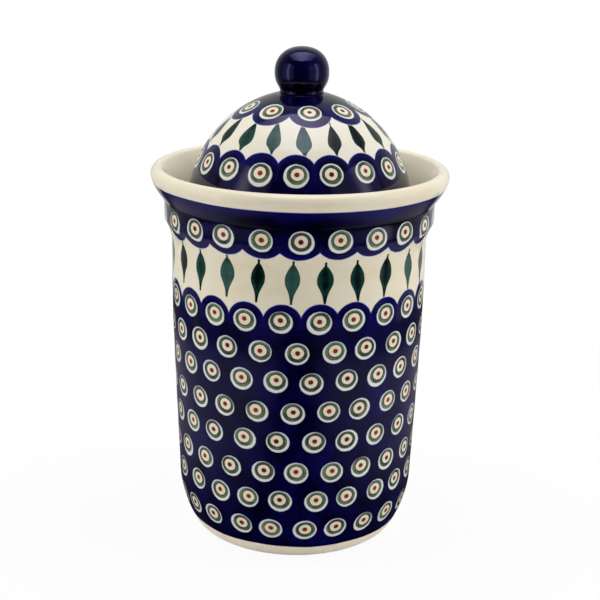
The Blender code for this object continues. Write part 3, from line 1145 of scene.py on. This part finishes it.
def table_glow(x, y, z):
    """The pale table at both sides, as the flare and the lower body reflect it. It is faint close
    to the jar, which shades it, and far away, and dark along the middle."""
    away = work(x.tree, "SQRT", x * x + y * y)
    lit = rise(away, TABLE_HOLE, TABLE_HOLE + TABLE_HOLE_EDGE)
    lit = lit * fall(away, TABLE_REACH - TABLE_EDGE, TABLE_REACH)
    bright = rise(abs(x), *TABLE_SIDES) * lit * TABLE_GLOW
    return bright + rise(abs(x), *TABLE_LEAST_SIDES) * TABLE_LEAST_GLOW


def level_square(reach, height):
    """The corners of a level square round the axis, given half its width."""
    return [(x * reach, y * reach, height) for x, y in ((-1, -1), (1, -1), (1, 1), (-1, 1))]


def make_cards():
    """The overhead softbox, the two side panels and the table, as the glaze reflects them."""
    corners = [(x, y, OVERHEAD_HEIGHT) for x, y in OVERHEAD_CORNERS]
    reflected_card("overhead_card", corners, overhead_glow)
    for side, name, streak in STREAKS:
        near, far = (side * SIDE_NEAR[0], SIDE_NEAR[1]), (side * SIDE_FAR[0], SIDE_FAR[1])
        corners = [(*near, SIDE_LOW), (*far, SIDE_LOW), (*far, SIDE_TOP), (*near, SIDE_TOP)]
        reflected_card(name, corners, side_glow_at(streak))
    reflected_card("table_card", level_square(TABLE_REACH, TABLE_HEIGHT), table_glow)


def make_world():
    """White behind the object for the camera. The glaze sees a dimmer room, dark at the front."""
    world = bpy.data.worlds.new("studio")
    bpy.context.scene.world = world
    world.use_nodes = True
    tree = world.node_tree
    tree.nodes.clear()
    output = tree.nodes.new("ShaderNodeOutputWorld")
    path = tree.nodes.new("ShaderNodeLightPath")
    coordinates = tree.nodes.new("ShaderNodeTexCoord")
    across, behind, _ = parts_of(tree, coordinates.outputs["Generated"])
    room = rise(behind, *SIDE_START) * SIDE_GLOW + rise(behind, *TURN_START) * TURN_GLOW
    room = room + rise(behind, *BACK_START) * BACK_GLOW + FRONT_GLOW
    room = room * (across * RIGHT_MORE + 1.0)
    camera = Value(tree, path.outputs["Is Camera Ray"])
    glossy = Value(tree, path.outputs["Is Glossy Ray"])
    through = Value(tree, path.outputs["Is Transmission Ray"])
    seen = larger(glossy, through)
    strength = pick(camera, 1.0, pick(seen, room, AMBIENT))
    shine = tree.nodes.new("ShaderNodeBackground")
    shine.inputs["Color"].default_value = WHITE
    tree.links.new(strength.socket, shine.inputs["Strength"])
    tree.links.new(shine.outputs[0], output.inputs["Surface"])


def make_floor():
    """A pale floor that fades into the white behind it and keeps the object's shadow."""
    mesh = bpy.data.meshes.new("floor")
    mesh.from_pydata(level_square(FLOOR_REACH, 0.0), [], [(0, 1, 2, 3)])
    material, tree, output = emptied_material("pale_floor")
    matte = tree.nodes.new("ShaderNodeBsdfDiffuse")
    matte.inputs["Color"].default_value = FLOOR_GREY
    glow = tree.nodes.new("ShaderNodeEmission")
    mix = tree.nodes.new("ShaderNodeMixShader")
    path = tree.nodes.new("ShaderNodeLightPath")
    camera = Value(tree, path.outputs["Is Camera Ray"])
    share = camera * (rise(Surface(tree).radius, *FLOOR_FADE) * FLOOR_WHITER + FLOOR_WHITE)
    tree.links.new(share.socket, mix.inputs[0])
    tree.links.new(matte.outputs[0], mix.inputs[1])
    tree.links.new(glow.outputs[0], mix.inputs[2])
    tree.links.new(mix.outputs[0], output.inputs["Surface"])
    mesh.materials.append(material)
    floor = placed("floor", mesh)
    floor.visible_glossy = False


def make_lights():
    """Soft light from high on both sides, which reaches into the mouth, and from low beside it."""
    for name, place, size, power in LAMPS:
        soft_light(name, place, size, power)


make_camera()
make_world()
make_floor()
make_lights()
make_cards()
cream = cream_material()
clay = clay_material()
make_jar(cream, clay)
make_lid(cream, clay)
make_knob()

bpy.context.scene.view_settings.view_transform = "Standard"
